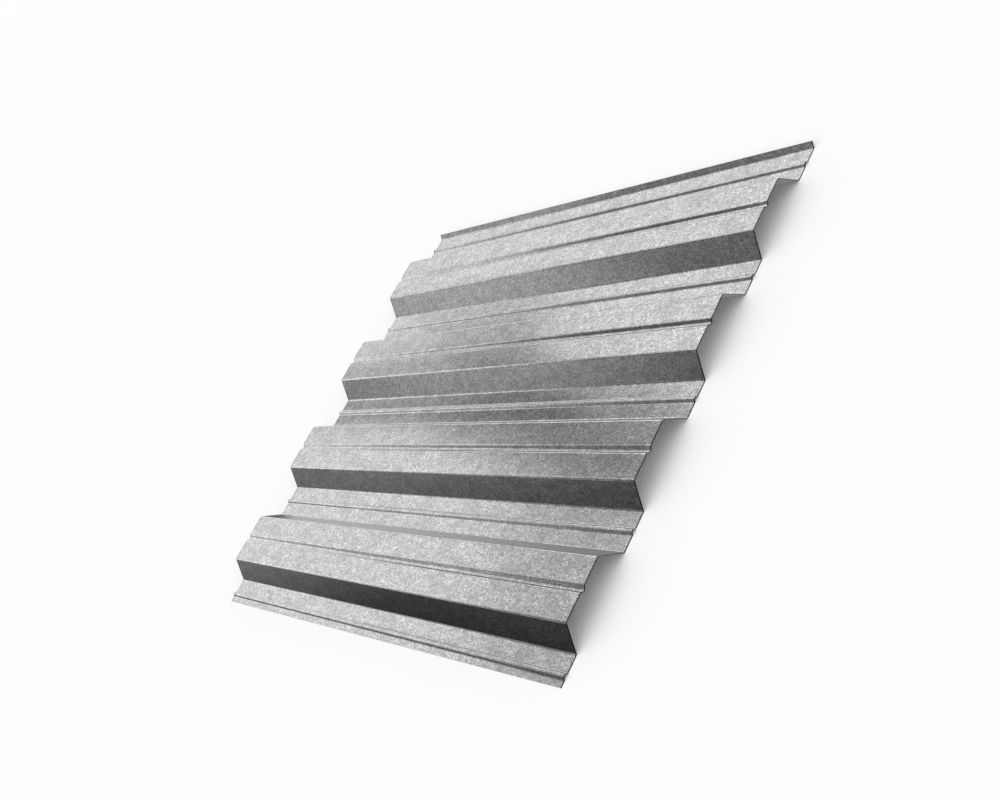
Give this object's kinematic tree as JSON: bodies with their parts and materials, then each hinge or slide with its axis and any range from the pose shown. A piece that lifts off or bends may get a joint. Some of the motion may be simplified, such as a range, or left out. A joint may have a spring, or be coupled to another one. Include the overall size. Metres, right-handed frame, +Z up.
{
  "type": "trapezoidal profiled metal sheet",
  "caption": "Galvanised steel sheet rolled into wide flat crests and narrow valleys, with a groove along each crest, a rib along each valley and a lip on one side edge.",
  "frame": {"origin": "on the floor, under the middle of the sheet's length and width", "axes": "+X along the length of the waves, +Y across them towards the side edge with the upstand lip, +Z up, with the crests up"},
  "size_m": [1.23, 1.0634, 0.044],
  "materials": {
    "galvanised_steel": "hot-dip galvanised with a fine mottled spangle"
  },
  "bodies": {
    "root": {"profiled_sheet": "galvanised_steel"}
  },
  "joints": []
}
